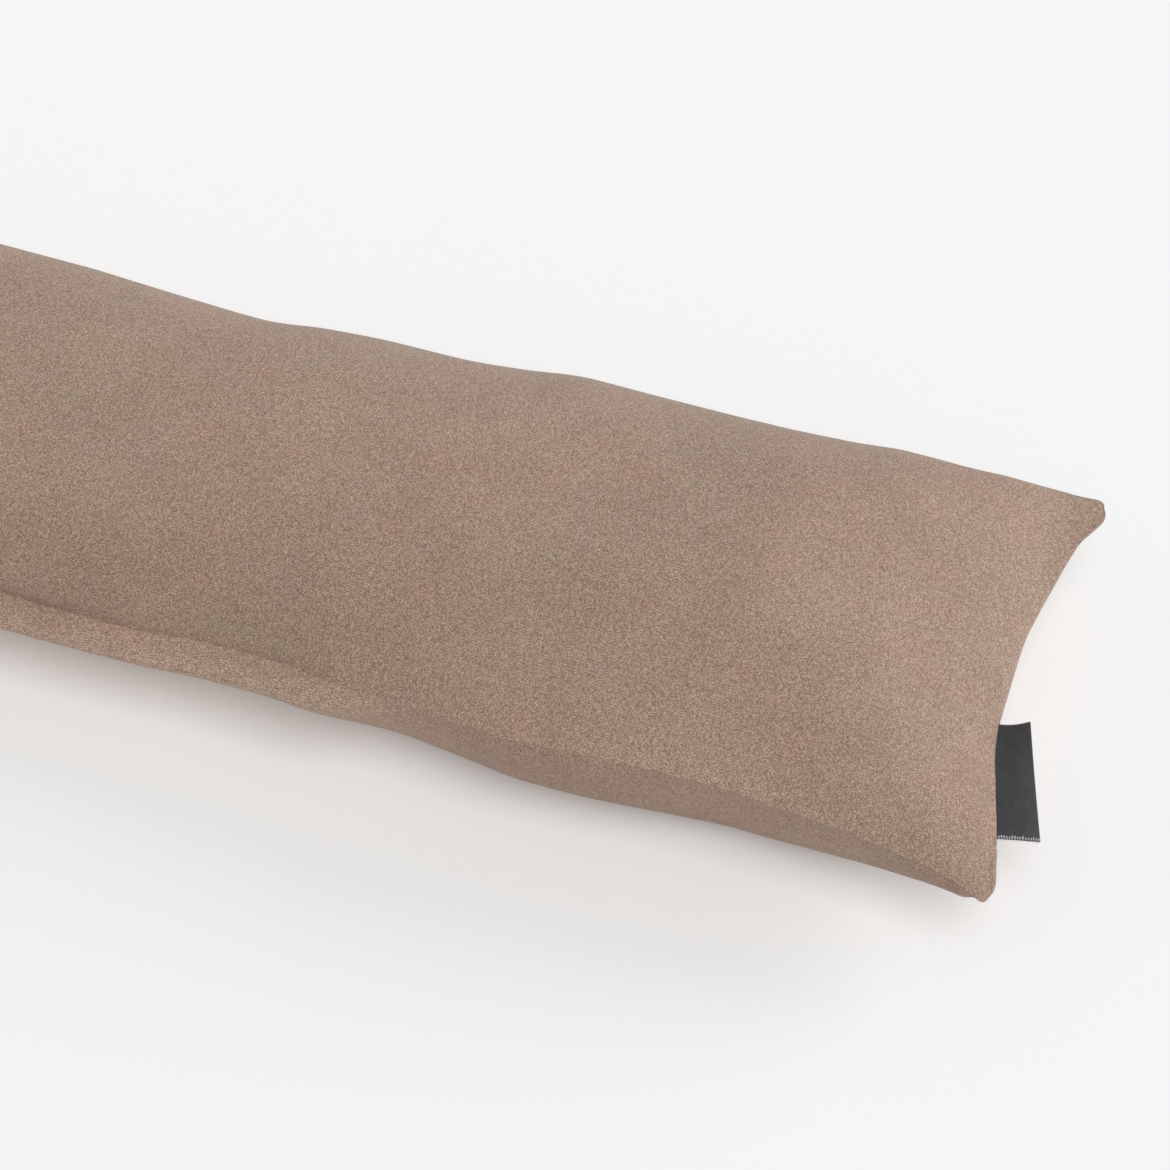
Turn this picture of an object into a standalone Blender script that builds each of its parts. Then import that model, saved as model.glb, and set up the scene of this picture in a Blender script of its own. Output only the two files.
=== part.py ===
"""A draught excluder: a long stuffed cloth cushion with flat corners and a folded side tab.

Metres, +Z up. X runs along the length, with the tab on the +X end. The front seam is at -Y.
The underside rests on z = 0, and the origin is in the middle of it.
"""

import math

import bpy
import numpy as np

MM = 0.001

# The cover is two equal cloth panels, about 1000 mm long and 205 mm wide when flat. Filled,
# it measures this from the middle to the corners of an end.
HALF_LENGTH = 484 * MM
TABBED_END_SKEW = 6.4 * MM  # how much further out the front corner is than the back one
PLAIN_END_SKEW = -4 * MM
CORNER_RADIUS = 3.2 * MM
SEAM_EDGE = 3.0 * MM  # thickness of the sewn edge of an end
TABBED_END_HEIGHT = 40 * MM  # of the middle of an end seam above the floor
PLAIN_END_HEIGHT = 39 * MM

# How far from an end the filling shows its full shape.
TOP_RISES_OVER = 118 * MM
UNDERSIDE_LANDS_OVER = 92 * MM
TOP_EDGE_FLAT_OVER = 42 * MM  # the side seams of a corner are a flat edge this far
UNDERSIDE_EDGE_FLAT_OVER = 12 * MM
END_SHOWS_OVER = 170 * MM  # the bow and skew of an end seam fade away over this length

# Fullness of the rounded sides.
TOP_FULLNESS = 0.64  # share of the back half width within which the top stays high
TOP_LEVEL = 0.08  # share of a half width within which the top is level
UNDERSIDE_FULLNESS = 0.60  # the same, of the width beside the flat underside
SIDE_FULLNESS = 0.50  # share of a side's height over which the cloth leaves a seam upright

# Just below the front seam the underside swells into a lip, or dips under the seam.
LIP_SHARE = 0.16  # of stand_out
LIP_DROP = 4.5 * MM  # below the seam to where the lip stands out most

# The side curves at an end seam, in shares of the rise and of the half width. They are the
# same for both panels, so that the two meet in one edge.
EDGE_RISE = 0.05
EDGE_HANDLE = 0.28
EDGE_SHOULDER = 0.44
EDGE_LANDING = 0.16

# Sections along the length, in millimetres: half widths at the seams, heights of the seams
# and the crown, half widths of the flat underside, and how the cloth meets the front seam.
# The top bends down outside shoulder, and slopes in by slope_in as it leaves the seam. The
# underside stands out by stand_out over its first drop: it is a lip that faces up where
# the two are alike, and is tucked under where stand_out is negative.
SECTION_COLUMNS = (
    "x", "front", "back", "front_seam", "back_seam", "crown", "front_foot", "back_foot",
    "shoulder", "slope_in", "stand_out", "drop",
)
SECTIONS = (
    (-484, 92, 91, 38, 40, 76, 48, 48, 58, 0, 0, 20),
    (-470, 91, 90, 39, 40, 76, 48, 48, 56, 3, 0, 20),
    (-450, 88, 89, 41, 40, 77, 49, 49, 50, 7, 0, 20),
    (-420, 85, 87, 43, 40, 78, 50, 50, 42, 14, -1, 21),
    (-370, 83, 84, 45, 39, 79, 50, 50, 34, 22, -2, 22),
    (-310, 82, 83, 47, 39, 80, 50, 50, 32, 24, -1, 22),
    (-250, 83, 82, 48, 39, 79, 49, 50, 34, 20, 4, 18),
    (-190, 81, 81, 47, 39, 77, 48, 49, 42, 11, 9, 13),
    (-120, 79, 82, 48, 39, 78, 47, 48, 50, 4, 14, 8),
    (-60, 80, 82, 49, 39, 78, 47, 48, 54, 1, 17, 5.5),
    (0, 79.3, 80.2, 48.4, 39, 77, 47, 48, 54, -1, 17, 5),
    (50, 76.8, 78.7, 46.3, 39, 76, 47, 48, 54, -2, 17, 5),
    (85, 75.3, 78.5, 44.6, 39, 76, 46.8, 48, 52.3, -2, 17, 5),
    (110, 74.8, 77.3, 43.3, 39, 76, 44, 48, 51, -1.1, 17, 5),
    (135, 74.9, 75.7, 42.4, 39, 76.2, 42, 47.8, 49.1, 0.7, 17.5, 5),
    (160, 74.7, 74.4, 42.3, 39, 76.6, 40.5, 47, 46, 3, 18.5, 5.5),
    (185, 73.3, 77.6, 43.4, 39, 77.2, 39.5, 47.7, 43.2, 5.8, 19, 6),
    (210, 74, 79.3, 45.1, 39, 77.7, 40.5, 48.4, 40, 8.9, 18, 7),
    (235, 77.6, 79.4, 46.9, 39, 78, 43.5, 49.1, 36.2, 13, 13, 10),
    (260, 80.3, 81.5, 48.7, 39, 78.5, 45.5, 49.9, 31.7, 19.9, 4.6, 15),
    (285, 84, 84.9, 50.7, 39, 79, 48.8, 50.7, 28.4, 25, -0.5, 20),
    (310, 86, 84.6, 52.5, 39, 79, 50.3, 51, 26.2, 27.8, 2.4, 22.3),
    (335, 84.9, 84.8, 53.3, 39, 79, 51, 51, 25, 29, 3.7, 23),
    (360, 83.9, 84.8, 52.7, 39.6, 78.7, 51, 51.8, 25, 28.5, 0.3, 23),
    (385, 82.5, 85.6, 51.1, 40.5, 78.4, 51, 52, 25.6, 26.1, -3.3, 22.6),
    (408, 83.3, 87.9, 49.1, 42.2, 78.1, 51, 52, 28.2, 21.2, -3.7, 21.8),
    (430, 84, 88.6, 47, 42.9, 77.5, 51, 52, 34, 15, -2.1, 21.3),
    (448, 85.5, 89.9, 45, 43.7, 77, 50.2, 51.2, 40.4, 9.1, -0.4, 21.3),
    (462, 87, 91.3, 43.2, 44.1, 77, 49.5, 50.5, 46.2, 5.8, 0.5, 20.4),
    (474, 89.2, 91.5, 41.4, 43.5, 76.8, 48.7, 49.4, 52.6, 2.7, 1.1, 18),
    (484, 93.8, 92, 39.8, 43.2, 76, 48, 48, 58, 0, 1.4, 18),
)

# An end seam from its front corner (-1) to its back corner (1), and how far the filling
# draws it in, in millimetres.
END_COLUMNS = ("across", "drawn_in")
TABBED_END = (
    (-1, 0),
    (-0.95, -2.4),
    (-0.85, 0.5),
    (-0.7, 3.2),
    (-0.5, 8.2),
    (-0.3, 12.7),
    (-0.1, 14.6),
    (0.1, 14.5),
    (0.25, 14.2),
    (0.4, 12.3),
    (0.55, 9.7),
    (0.7, 7),
    (0.8, 4.7),
    (0.88, 0.9),
    (0.95, -1.4),
    (1, 0),
)
PLAIN_END = (
    (-1, 0),
    (-0.88, 0.8),
    (-0.65, 5.6),
    (-0.4, 10.9),
    (-0.15, 14.9),
    (0, 15.6),
    (0.3, 12),
    (0.6, 5.8),
    (0.85, 1.2),
    (1, 0),
)

# The side tab is a narrow tape folded in two along its length, its long edges sewn in.
TAB_FRONT_Y = -64.8 * MM
TAB_BACK_Y = -16.7 * MM
TAB_OUT_AT_FRONT = 14.5 * MM  # how far it stands out of the seam
TAB_OUT_AT_BACK = 10.5 * MM
TAB_CLOTH = 1.0 * MM
TAB_THICKNESS = 2.6 * MM  # of both layers and the gap between them
TAB_CLEARANCE = 0.5 * MM  # from the seam it is sewn into
TAB_CURL_AT_BACK = 4.2 * MM  # how far its outer edge is lifted
TAB_CURL_AT_FRONT = -0.5 * MM

# Resolution
SIDE_POINTS = 13  # vertices from a seam to where a panel levels out
CROWDING = 1.5  # above 1, they are closer together at the seam
LEVEL_POINTS = 3  # vertices between those of the two sides
PANEL_POINTS = 2 * SIDE_POINTS + LEVEL_POINTS
RING_PLACES = (0, 0.6, 1.6, 3, 4.6, 7, 10, 14, 19, 25, 32, 40, 49, 59, 70, 82, 95)  # mm from an end
MIDDLE_RINGS = 66
TAB_SECTIONS = 13
FOLD_POINTS = 7


def column(table, names, name):
    """A column of a table, with lengths in metres."""
    values = np.array([row[names.index(name)] for row in table], float)
    return values if name == "across" else values * MM


def smooth_curve(x, places, values):
    """A cubic curve through the values at the places, without overshoot."""
    step = np.diff(places)
    slope = np.diff(values) / step
    before, after = slope[:-1], slope[1:]
    turns = before * after <= 0
    weight_before = 2 * step[1:] + step[:-1]
    weight_after = step[1:] + 2 * step[:-1]
    total = weight_before / np.where(turns, 1, before) + weight_after / np.where(turns, 1, after)
    total = np.where(turns, 1, total)
    tangent = np.zeros(len(places))
    tangent[1:-1] = np.where(turns, 0, (weight_before + weight_after) / total)
    x = np.clip(x, places[0], places[-1])
    i = np.clip(np.searchsorted(places, x, side="right") - 1, 0, len(step) - 1)
    t = (x - places[i]) / step[i]
    rise = values[i + 1] - values[i]
    start = tangent[i] * step[i]
    end = tangent[i + 1] * step[i]
    square = 3 * rise - 2 * start - end
    cube = start + end - 2 * rise
    return values[i] + t * (start + t * (square + t * cube))


def section_value(name, x):
    places = column(SECTIONS, SECTION_COLUMNS, "x")
    return smooth_curve(x, places, column(SECTIONS, SECTION_COLUMNS, name))


def drawn_in(end, across):
    """How far in an end seam is at each place across it."""
    places = column(end, END_COLUMNS, "across")
    return smooth_curve(across, places, column(end, END_COLUMNS, "drawn_in"))


def end_inset(end, skew, y, front, back):
    """How far an end seam is from HALF_LENGTH at each y."""
    across = y / np.where(y < 0, front, back)
    return drawn_in(end, across) + skew / 2 * across


def bezier(corners, t):
    """Points of a cubic curve in the Y-Z plane, from its four control points."""
    p0, p1, p2, p3 = (np.array(corner) for corner in corners)
    t = t[:, None]
    left = 1 - t
    return p0 * left**3 + 3 * p1 * t * left**2 + 3 * p2 * t**2 * left + p3 * t**3


def filled_out(from_end, length, sharpness, power):
    """Rises from 0 at an end seam to 1 at the given distance from it."""
    part = min(from_end / length, 1)
    return (1 - (1 - part) ** sharpness) ** power


def corner_rounding(from_end):
    """How much narrower the cover is close to an end, from its rounded corners."""
    inside = max(1 - from_end / CORNER_RADIUS, 0)
    return CORNER_RADIUS * (1 - math.sqrt(1 - inside * inside))


def ring(x):
    """The top and bottom rows of points of the cushion's section at x.

    Both rows run from the front seam to the back seam and share their first and last point.
    """
    from_end = HALF_LENGTH - abs(x)
    if x > 0:
        end, skew, end_height = TABBED_END, TABBED_END_SKEW, TABBED_END_HEIGHT
    else:
        end, skew, end_height = PLAIN_END, PLAIN_END_SKEW, PLAIN_END_HEIGHT

    risen = filled_out(from_end, TOP_RISES_OVER, 2.4, 0.78)
    landed = filled_out(from_end, UNDERSIDE_LANDS_OVER, 2.2, 0.8)
    top_stuffed = filled_out(from_end, TOP_EDGE_FLAT_OVER, 2.0, 0.9)
    underside_stuffed = filled_out(from_end, UNDERSIDE_EDGE_FLAT_OVER, 2.0, 0.9)

    front = section_value("front", x) - corner_rounding(from_end)
    back = section_value("back", x) - corner_rounding(from_end)
    front_seam = section_value("front_seam", x)
    back_seam = section_value("back_seam", x)
    front_foot = section_value("front_foot", x)
    back_foot = section_value("back_foot", x)
    crown = end_height + SEAM_EDGE / 2 + (section_value("crown", x) - end_height) * risen
    underside = (end_height - SEAM_EDGE / 2) * (1 - landed)

    def side(stuffed, seam_y, seam_z, level_z, handle_in, handle_up, shoulder, landing):
        """From a seam to where a panel levels out. The two handles set its fullness.

        At the very end seam the points are spread evenly, so that both rows match there.
        """
        inward = -math.copysign(1, seam_y)
        half_width = abs(seam_y)
        flat = 1 - stuffed
        handle = half_width - handle_in * stuffed - half_width * EDGE_HANDLE * flat
        shoulder = shoulder * stuffed + half_width * EDGE_SHOULDER * flat
        landing = landing * stuffed + half_width * EDGE_LANDING * flat
        corners = (
            (seam_y, seam_z),
            (-inward * handle, seam_z + handle_up * stuffed + (level_z - seam_z) * EDGE_RISE),
            (-inward * shoulder, level_z),
            (-inward * landing, level_z),
        )
        return bezier(corners, np.linspace(0, 1, SIDE_POINTS) ** CROWDING)

    def add_lip(row):
        """Lets the underside's front side stand out just below the seam."""
        below = (front_seam - row[:, 1]) / LIP_DROP
        swell = LIP_SHARE * stand_out * underside_stuffed
        row[:, 0] -= swell * below * np.exp(1 - below)
        return row

    def panel(front_side, back_side):
        level = np.linspace(front_side[-1], back_side[-1], LEVEL_POINTS + 2)
        return np.vstack([front_side, level[1:-1], back_side[::-1]])

    front_rise = (crown - front_seam) * SIDE_FULLNESS
    back_rise = (crown - back_seam) * SIDE_FULLNESS
    back_drop = (back_seam - underside) * SIDE_FULLNESS
    shoulder = section_value("shoulder", x)
    slope_in = section_value("slope_in", x)
    stand_out = section_value("stand_out", x)
    drop = section_value("drop", x)
    front_heel = front_foot + (front - front_foot) * UNDERSIDE_FULLNESS
    back_heel = back_foot + (back - back_foot) * UNDERSIDE_FULLNESS
    top = panel(
        side(top_stuffed, -front, front_seam, crown, slope_in, front_rise, shoulder, front * TOP_LEVEL),
        side(top_stuffed, back, back_seam, crown, 0, back_rise, back * TOP_FULLNESS, back * TOP_LEVEL),
    )
    bottom = panel(
        add_lip(
            side(underside_stuffed, -front, front_seam, underside, -stand_out, -drop, front_heel, front_foot)
        ),
        side(underside_stuffed, back, back_seam, underside, 0, -back_drop, back_heel, back_foot),
    )

    fade = 1 - filled_out(from_end, END_SHOWS_OVER, 1, 1)
    fade = fade * fade * (3 - 2 * fade)

    def placed(row):
        """Adds x to a row, set in as far as the end seam is at each place across."""
        inset = end_inset(end, skew, row[:, 0], front, back) * fade
        return np.column_stack([math.copysign(1, x) * (abs(x) - inset), row])

    return placed(top), placed(bottom)


def cushion_mesh():
    near_end = HALF_LENGTH - np.array(RING_PLACES) * MM
    middle = np.linspace(-near_end[-1], near_end[-1], MIDDLE_RINGS + 2)[1:-1]
    verts = []
    rings = []
    for x in np.concatenate([-near_end, middle, near_end[::-1]]):
        top, bottom = ring(x)
        loop = np.vstack([top, bottom[-2:0:-1]])
        rings.append(range(len(verts), len(verts) + len(loop)))
        verts += loop.tolist()
    count = len(rings[0])
    faces = []
    for near, far in zip(rings, rings[1:]):
        for i in range(count):
            j = (i + 1) % count
            faces.append((near[i], far[i], far[j], near[j]))
    # Each end is closed between its top and bottom rows.
    for i in range(PANEL_POINTS - 1):
        corners = dict.fromkeys((i, i + 1, count - i - 1, (count - i) % count))
        faces.append([rings[0][k] for k in corners])
        faces.append([rings[-1][k] for k in reversed(corners)])
    return verts, faces


def tab_profile(out):
    """Outline of the folded tape, as distances outward and upward from the seam line."""
    half = TAB_THICKNESS / 2
    fold = out - half
    outline = []
    for radius, turn in ((half, 1), (half - TAB_CLOTH, -1)):
        outline.append((0, -turn * radius))
        for angle in np.linspace(-math.pi / 2, math.pi / 2, FOLD_POINTS):
            outline.append((fold + radius * math.cos(angle), turn * radius * math.sin(angle)))
        outline.append((0, turn * radius))
    return outline


def tab_mesh():
    """The tape follows the end seam, a little clear of it."""
    rows = ring(HALF_LENGTH)
    front, back = -rows[0][0, 1], rows[0][-1, 1]
    y = np.linspace(TAB_FRONT_Y, TAB_BACK_Y, TAB_SECTIONS)
    x = HALF_LENGTH - end_inset(TABBED_END, TABBED_END_SKEW, y, front, back)
    z = sum(np.interp(y, row[:, 1], row[:, 2]) for row in rows) / 2
    slope = np.gradient(x, y)
    verts = []
    loops = []
    for i in range(TAB_SECTIONS):
        share = i / (TAB_SECTIONS - 1)
        out = TAB_OUT_AT_FRONT + (TAB_OUT_AT_BACK - TAB_OUT_AT_FRONT) * share
        curl = TAB_CURL_AT_FRONT + (TAB_CURL_AT_BACK - TAB_CURL_AT_FRONT) * share**2
        outward = np.array([1, -slope[i]]) / math.hypot(1, slope[i])
        loop = []
        for distance, up in tab_profile(out):
            along = (distance + TAB_CLEARANCE) * outward
            lifted = z[i] + up + curl * (distance / out) ** 2
            loop.append(len(verts))
            verts.append((x[i] + along[0], y[i] + along[1], lifted))
        loops.append(loop)
    faces = []
    count = len(loops[0])
    for near, far in zip(loops, loops[1:]):
        for i in range(count):
            j = (i + 1) % count
            faces.append((near[i], far[i], far[j], near[j]))
    faces += end_faces(loops[-1], count)
    faces += [face[::-1] for face in end_faces(loops[0], count)]
    return verts, faces


def end_faces(loop, count):
    """Closes one end of the tape, between the outer and the inner line of its outline."""
    outer = loop[: count // 2]
    inner = loop[: count // 2 - 1 : -1]
    return [(b, a, c, d) for a, b, c, d in zip(outer, outer[1:], inner, inner[1:])]


def cloth_material(name, colour, roughness):
    material = bpy.data.materials.new(name)
    material.use_nodes = True
    shader = material.node_tree.nodes["Principled BSDF"]
    shader.inputs["Base Color"].default_value = (*colour, 1)
    shader.inputs["Roughness"].default_value = roughness
    shader.inputs["Metallic"].default_value = 0
    return material


def add_object(name, verts, faces, material, smooth):
    mesh = bpy.data.meshes.new(name)
    mesh.from_pydata(verts, [], faces)
    mesh.polygons.foreach_set("use_smooth", [smooth] * len(mesh.polygons))
    mesh.materials.append(material)
    mesh.update()
    obj = bpy.data.objects.new(name, mesh)
    bpy.context.scene.collection.objects.link(obj)


def build():
    for obj in list(bpy.data.objects):
        bpy.data.objects.remove(obj, do_unlink=True)
    taupe = cloth_material("taupe_cloth", (0.36, 0.26, 0.20), 0.95)
    charcoal = cloth_material("charcoal_tape", (0.045, 0.045, 0.048), 0.8)
    add_object("cushion", *cushion_mesh(), taupe, smooth=True)
    add_object("side_tab", *tab_mesh(), charcoal, smooth=False)


build()
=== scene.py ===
import math

import bpy
import numpy as np
from mathutils import Matrix, Vector, noise


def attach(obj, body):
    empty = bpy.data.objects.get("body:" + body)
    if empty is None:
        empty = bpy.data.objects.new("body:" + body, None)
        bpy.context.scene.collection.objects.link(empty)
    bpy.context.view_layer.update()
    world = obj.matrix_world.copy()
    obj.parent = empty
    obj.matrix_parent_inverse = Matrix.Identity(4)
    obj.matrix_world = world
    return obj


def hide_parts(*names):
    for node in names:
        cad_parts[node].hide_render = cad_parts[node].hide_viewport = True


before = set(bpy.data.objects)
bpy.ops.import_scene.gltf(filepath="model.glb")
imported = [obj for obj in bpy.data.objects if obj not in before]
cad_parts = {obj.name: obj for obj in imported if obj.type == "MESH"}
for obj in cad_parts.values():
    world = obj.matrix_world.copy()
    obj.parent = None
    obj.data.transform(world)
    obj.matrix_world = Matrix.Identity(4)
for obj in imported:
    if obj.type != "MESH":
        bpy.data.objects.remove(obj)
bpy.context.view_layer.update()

# The looks of a stuffed draught excluder: its cloth cover, the tape tab folded into the seam of one
# end, and the thread ends along that tape. Metres. x runs along the cover to the tabbed end, y to its
# back seam and z up. The cover's sections are those of its solid, and get lumps, puckers and seams.

MM = 0.001

# The camera of the photograph: it looks down at the tabbed end from the front.
CAMERA_AZIMUTH = 18.2
CAMERA_ELEVATION = 52
CAMERA_DISTANCE = 2.1
CAMERA_AIM = (0.3088, -0.0011, 0.038)
FRAME_PIXELS = 1170
PIXELS_PER_METRE = 2731.7  # at the aim
SENSOR = 36  # mm

# Each sun: where it shines from (azimuth from +X towards +Y, elevation), strength, spread, colour.
SUNS = (
    ("key", 315, 60, 1.44, 40, (1.012, 1.0, 0.982)),
    ("side", 45, 20, 1.28, 40, (0.97, 1.0, 1.05)),
)
WORLD_STRENGTH = 0.32

# The floor glows a little, so that its shadows stay pale.
FLOOR_HALF_SIZE = 6
FLOOR_Z = -0.2 * MM
FLOOR_COLOUR = (0.893, 0.90, 0.903, 1)
FLOOR_ROUGHNESS = 0.9
FLOOR_GLOW = 0.15

# Sizes of the cover. Up to SECTIONS and TABBED_END they are those of the solid it stands for, but for
# up to 1.2 mm at the front corner of the tabbed end, where the outline is smoother.
HALF_LENGTH = 484 * MM
TABBED_END_SKEW = 6.4 * MM  # how much further out the front corner is than the back one
PLAIN_END_SKEW = -4 * MM
CORNER_RADIUS = 3.2 * MM
SEAM_EDGE = 3.0 * MM  # thickness of the sewn edge of an end
TABBED_END_HEIGHT = 40 * MM  # of the middle of an end seam above the floor
PLAIN_END_HEIGHT = 39 * MM
PANEL_WIDTH = 205 * MM
EDGE_ROLL = 2.2 * MM  # length over which the cloth rolls down to an end seam, here alone

# How the shape fills out from an end seam, for filled_out: length, sharpness and power.
TOP_RISES = (118 * MM, 2.4, 0.78)
UNDERSIDE_LANDS = (92 * MM, 2.2, 0.8)
TOP_EDGE_FILLS = (42 * MM, 2.0, 0.9)  # nearer to the end the side seams are a flat edge
UNDERSIDE_EDGE_FILLS = (12 * MM, 2.0, 0.9)
END_SHOWS = (170 * MM, 1, 1)  # over this length the bow and skew of an end seam fade away

# Fullness of the rounded sides.
TOP_FULLNESS = 0.64  # share of the back half width within which the top stays high
TOP_LEVEL = 0.08  # share of a half width within which the top is level
UNDERSIDE_FULLNESS = 0.60  # the same, of the width beside the flat underside
SIDE_FULLNESS = 0.50  # share of a side's height over which the cloth leaves a seam upright

# Just below the front seam the underside swells into a lip, or dips under the seam. Here alone
# a lip that stands out far is a flatter shelf.
LIP_SHARE = 0.16  # of stand_out
LIP_DROP = 4.5 * MM  # below the seam to where the lip stands out most
LIP_SLOPE = math.radians(9)  # of the shelf, downward as it goes out
LIP_TURNS_UNDER = 0.75  # the shelf ends where the side leans in this much, per length down
LIP_CREASE = 3  # above 1, the shelf's outer edge is a closer curve
LIP_FROM = 5 * MM  # stand_out from which there is a shelf
LIP_OVER = 9 * MM  # further stand_out over which the shelf gets its full form

# The side curves at an end seam, in shares of the rise and of the half width.
EDGE_RISE = 0.05
EDGE_HANDLE = 0.28
EDGE_SHOULDER = 0.44
EDGE_LANDING = 0.16

# Sections along the length, in millimetres: half widths at the seams, heights of the seams
# and the crown, half widths of the flat underside, and how the cloth meets the front seam.
# The top bends down outside shoulder, and slopes in by slope_in as it leaves the seam. The
# underside stands out by stand_out over its first drop. The rows that show in the photograph were
# fitted to its outlines, and the others continue them.
SECTION_COLUMNS = (
    "x", "front", "back", "front_seam", "back_seam", "crown", "front_foot", "back_foot",
    "shoulder", "slope_in", "stand_out", "drop",
)
SECTIONS = (
    (-484, 92, 91, 38, 40, 76, 48, 48, 58, 0, 0, 20),
    (-470, 91, 90, 39, 40, 76, 48, 48, 56, 3, 0, 20),
    (-450, 88, 89, 41, 40, 77, 49, 49, 50, 7, 0, 20),
    (-420, 85, 87, 43, 40, 78, 50, 50, 42, 14, -1, 21),
    (-370, 83, 84, 45, 39, 79, 50, 50, 34, 22, -2, 22),
    (-310, 82, 83, 47, 39, 80, 50, 50, 32, 24, -1, 22),
    (-250, 83, 82, 48, 39, 79, 49, 50, 34, 20, 4, 18),
    (-190, 81, 81, 47, 39, 77, 48, 49, 42, 11, 9, 13),
    (-120, 79, 82, 48, 39, 78, 47, 48, 50, 4, 14, 8),
    (-60, 80, 82, 49, 39, 78, 47, 48, 54, 1, 17, 5.5),
    (0, 79.3, 80.2, 48.4, 39, 77, 47, 48, 54, -1, 17, 5),
    (50, 76.8, 78.7, 46.3, 39, 76, 47, 48, 54, -2, 17, 5),
    (85, 75.3, 78.5, 44.6, 39, 76, 46.8, 48, 52.3, -2, 17, 5),
    (110, 74.8, 77.3, 43.3, 39, 76, 44, 48, 51, -1.1, 17, 5),
    (135, 74.9, 75.7, 42.4, 39, 76.2, 42, 47.8, 49.1, 0.7, 17.5, 5),
    (160, 74.7, 74.4, 42.3, 39, 76.6, 40.5, 47, 46, 3, 18.5, 5.5),
    (185, 73.3, 77.6, 43.4, 39, 77.2, 39.5, 47.7, 43.2, 5.8, 19, 6),
    (210, 74, 79.3, 45.1, 39, 77.7, 40.5, 48.4, 40, 8.9, 18, 7),
    (235, 77.6, 79.4, 46.9, 39, 78, 43.5, 49.1, 36.2, 13, 13, 10),
    (260, 80.3, 81.5, 48.7, 39, 78.5, 45.5, 49.9, 31.7, 19.9, 4.6, 15),
    (285, 84, 84.9, 50.7, 39, 79, 48.8, 50.7, 28.4, 25, -0.5, 20),
    (310, 86, 84.6, 52.5, 39, 79, 50.3, 51, 26.2, 27.8, 2.4, 22.3),
    (335, 84.9, 84.8, 53.3, 39, 79, 51, 51, 25, 29, 3.7, 23),
    (360, 83.9, 84.8, 52.7, 39.6, 78.7, 51, 51.8, 25, 28.5, 0.3, 23),
    (385, 82.5, 85.6, 51.1, 40.5, 78.4, 51, 52, 25.6, 26.1, -3.3, 22.6),
    (408, 83.3, 87.9, 49.1, 42.2, 78.1, 51, 52, 28.2, 21.2, -3.7, 21.8),
    (430, 84, 88.6, 47, 42.9, 77.5, 51, 52, 34, 15, -2.1, 21.3),
    (448, 85.5, 89.9, 45, 43.7, 77, 50.2, 51.2, 40.4, 9.1, -0.4, 21.3),
    (462, 87.2, 91.3, 43.2, 44.1, 77, 49.5, 50.5, 46.2, 5.8, 0.5, 20.4),
    (474, 89.9, 91.5, 41.4, 43.5, 76.8, 48.7, 49.4, 52.6, 2.7, 1.1, 18),
    (484, 93.6, 92, 39.8, 43.2, 76, 48, 48, 58, 0, 1.4, 18),
)

# How far an end seam is drawn in, in millimetres, at shares of the half width across. -1 is the
# front corner.
END_COLUMNS = ("across", "drawn_in")
TABBED_END = (
    (-1, 0), (-0.95, -1.2), (-0.85, 0.5), (-0.7, 3.2), (-0.5, 8.2), (-0.3, 12.7), (-0.1, 14.6),
    (0.1, 14.5), (0.25, 14.2), (0.4, 12.3), (0.55, 9.7), (0.7, 7), (0.8, 4.7), (0.88, 0.9),
    (0.95, -1.4), (1, 0),
)
PLAIN_END = (
    (-1, 0), (-0.88, 0.8), (-0.65, 5.6), (-0.4, 10.9), (-0.15, 14.9), (0, 15.6), (0.3, 12),
    (0.6, 5.8), (0.85, 1.2), (1, 0),
)

# Fineness of the cover. Vertices crowd at the seams.
CURVE_POINTS = 90
CROWDING = 1.5
SEAM_PLACES = (0, 0.4, 0.8, 1.3, 1.9, 2.7, 3.8, 5.2, 7, 9.2)  # mm from a side seam
PANEL_STEPS = 54
END_PLACES = (
    0, 0.15, 0.4, 0.75, 1.2, 1.7, 2.3, 3, 3.9, 5, 6.4, 8, 10, 12, 14.2, 16.6, 19, 21.5,
)  # mm from an end
RING_STEP = 2.6 * MM

# How the cloth stands out of the smooth form: lumps of the filling as (size, depth), puckers that
# the seams draw, and the groove of the side seams.
TOP_SEED = 1.7
UNDERSIDE_SEED = 5.3
LUMPS = ((95 * MM, 0.9 * MM), (38 * MM, 0.35 * MM))
LUMPS_START = 30 * MM  # from a seam to where the lumps have their full depth
PUCKER_DEPTH = 0.35 * MM
PUCKER_LENGTH = 13 * MM
PUCKER_REACH = 12 * MM
PUCKER_NOISE = (3.1, 0.2)  # its y for each unit of the seed, and its z
GROOVE_DEPTH = 0.06 * MM
GROOVE_WIDTH = 0.9 * MM
SEAM_FADE = 6 * MM  # they all fade out this close to an end, and its rolled edge to a side seam

# The rolled edge of an end seam: a ridge close to the edge, a shallow valley behind it and a faint
# second ridge, each as (distance from the edge, width, height).
HEM = (
    (1.5 * MM, 0.9 * MM, 0.22 * MM),
    (3.3 * MM, 0.8 * MM, -0.16 * MM),
    (5.2 * MM, 1.4 * MM, 0.08 * MM),
)

# A small dent beside the back corner of the tabbed end.
DENT_AT = (472.5 * MM, 75 * MM)
DENT_RADII = (4.5 * MM, 3 * MM)
DENT_DEPTH = 0.7 * MM

# The pocket between the two panels that holds the sewn-in edges of the tab.
POCKET_DEPTH = 1.5 * MM
POCKET_HALF_HEIGHT = 0.8 * MM
POCKET_RINGS = (0, 0.15)  # END_PLACES of the rings that go in
POCKET_LIP_RING = 0.4
POCKET_LIP = 1.15  # half height at the lips, as a share of that inside

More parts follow.
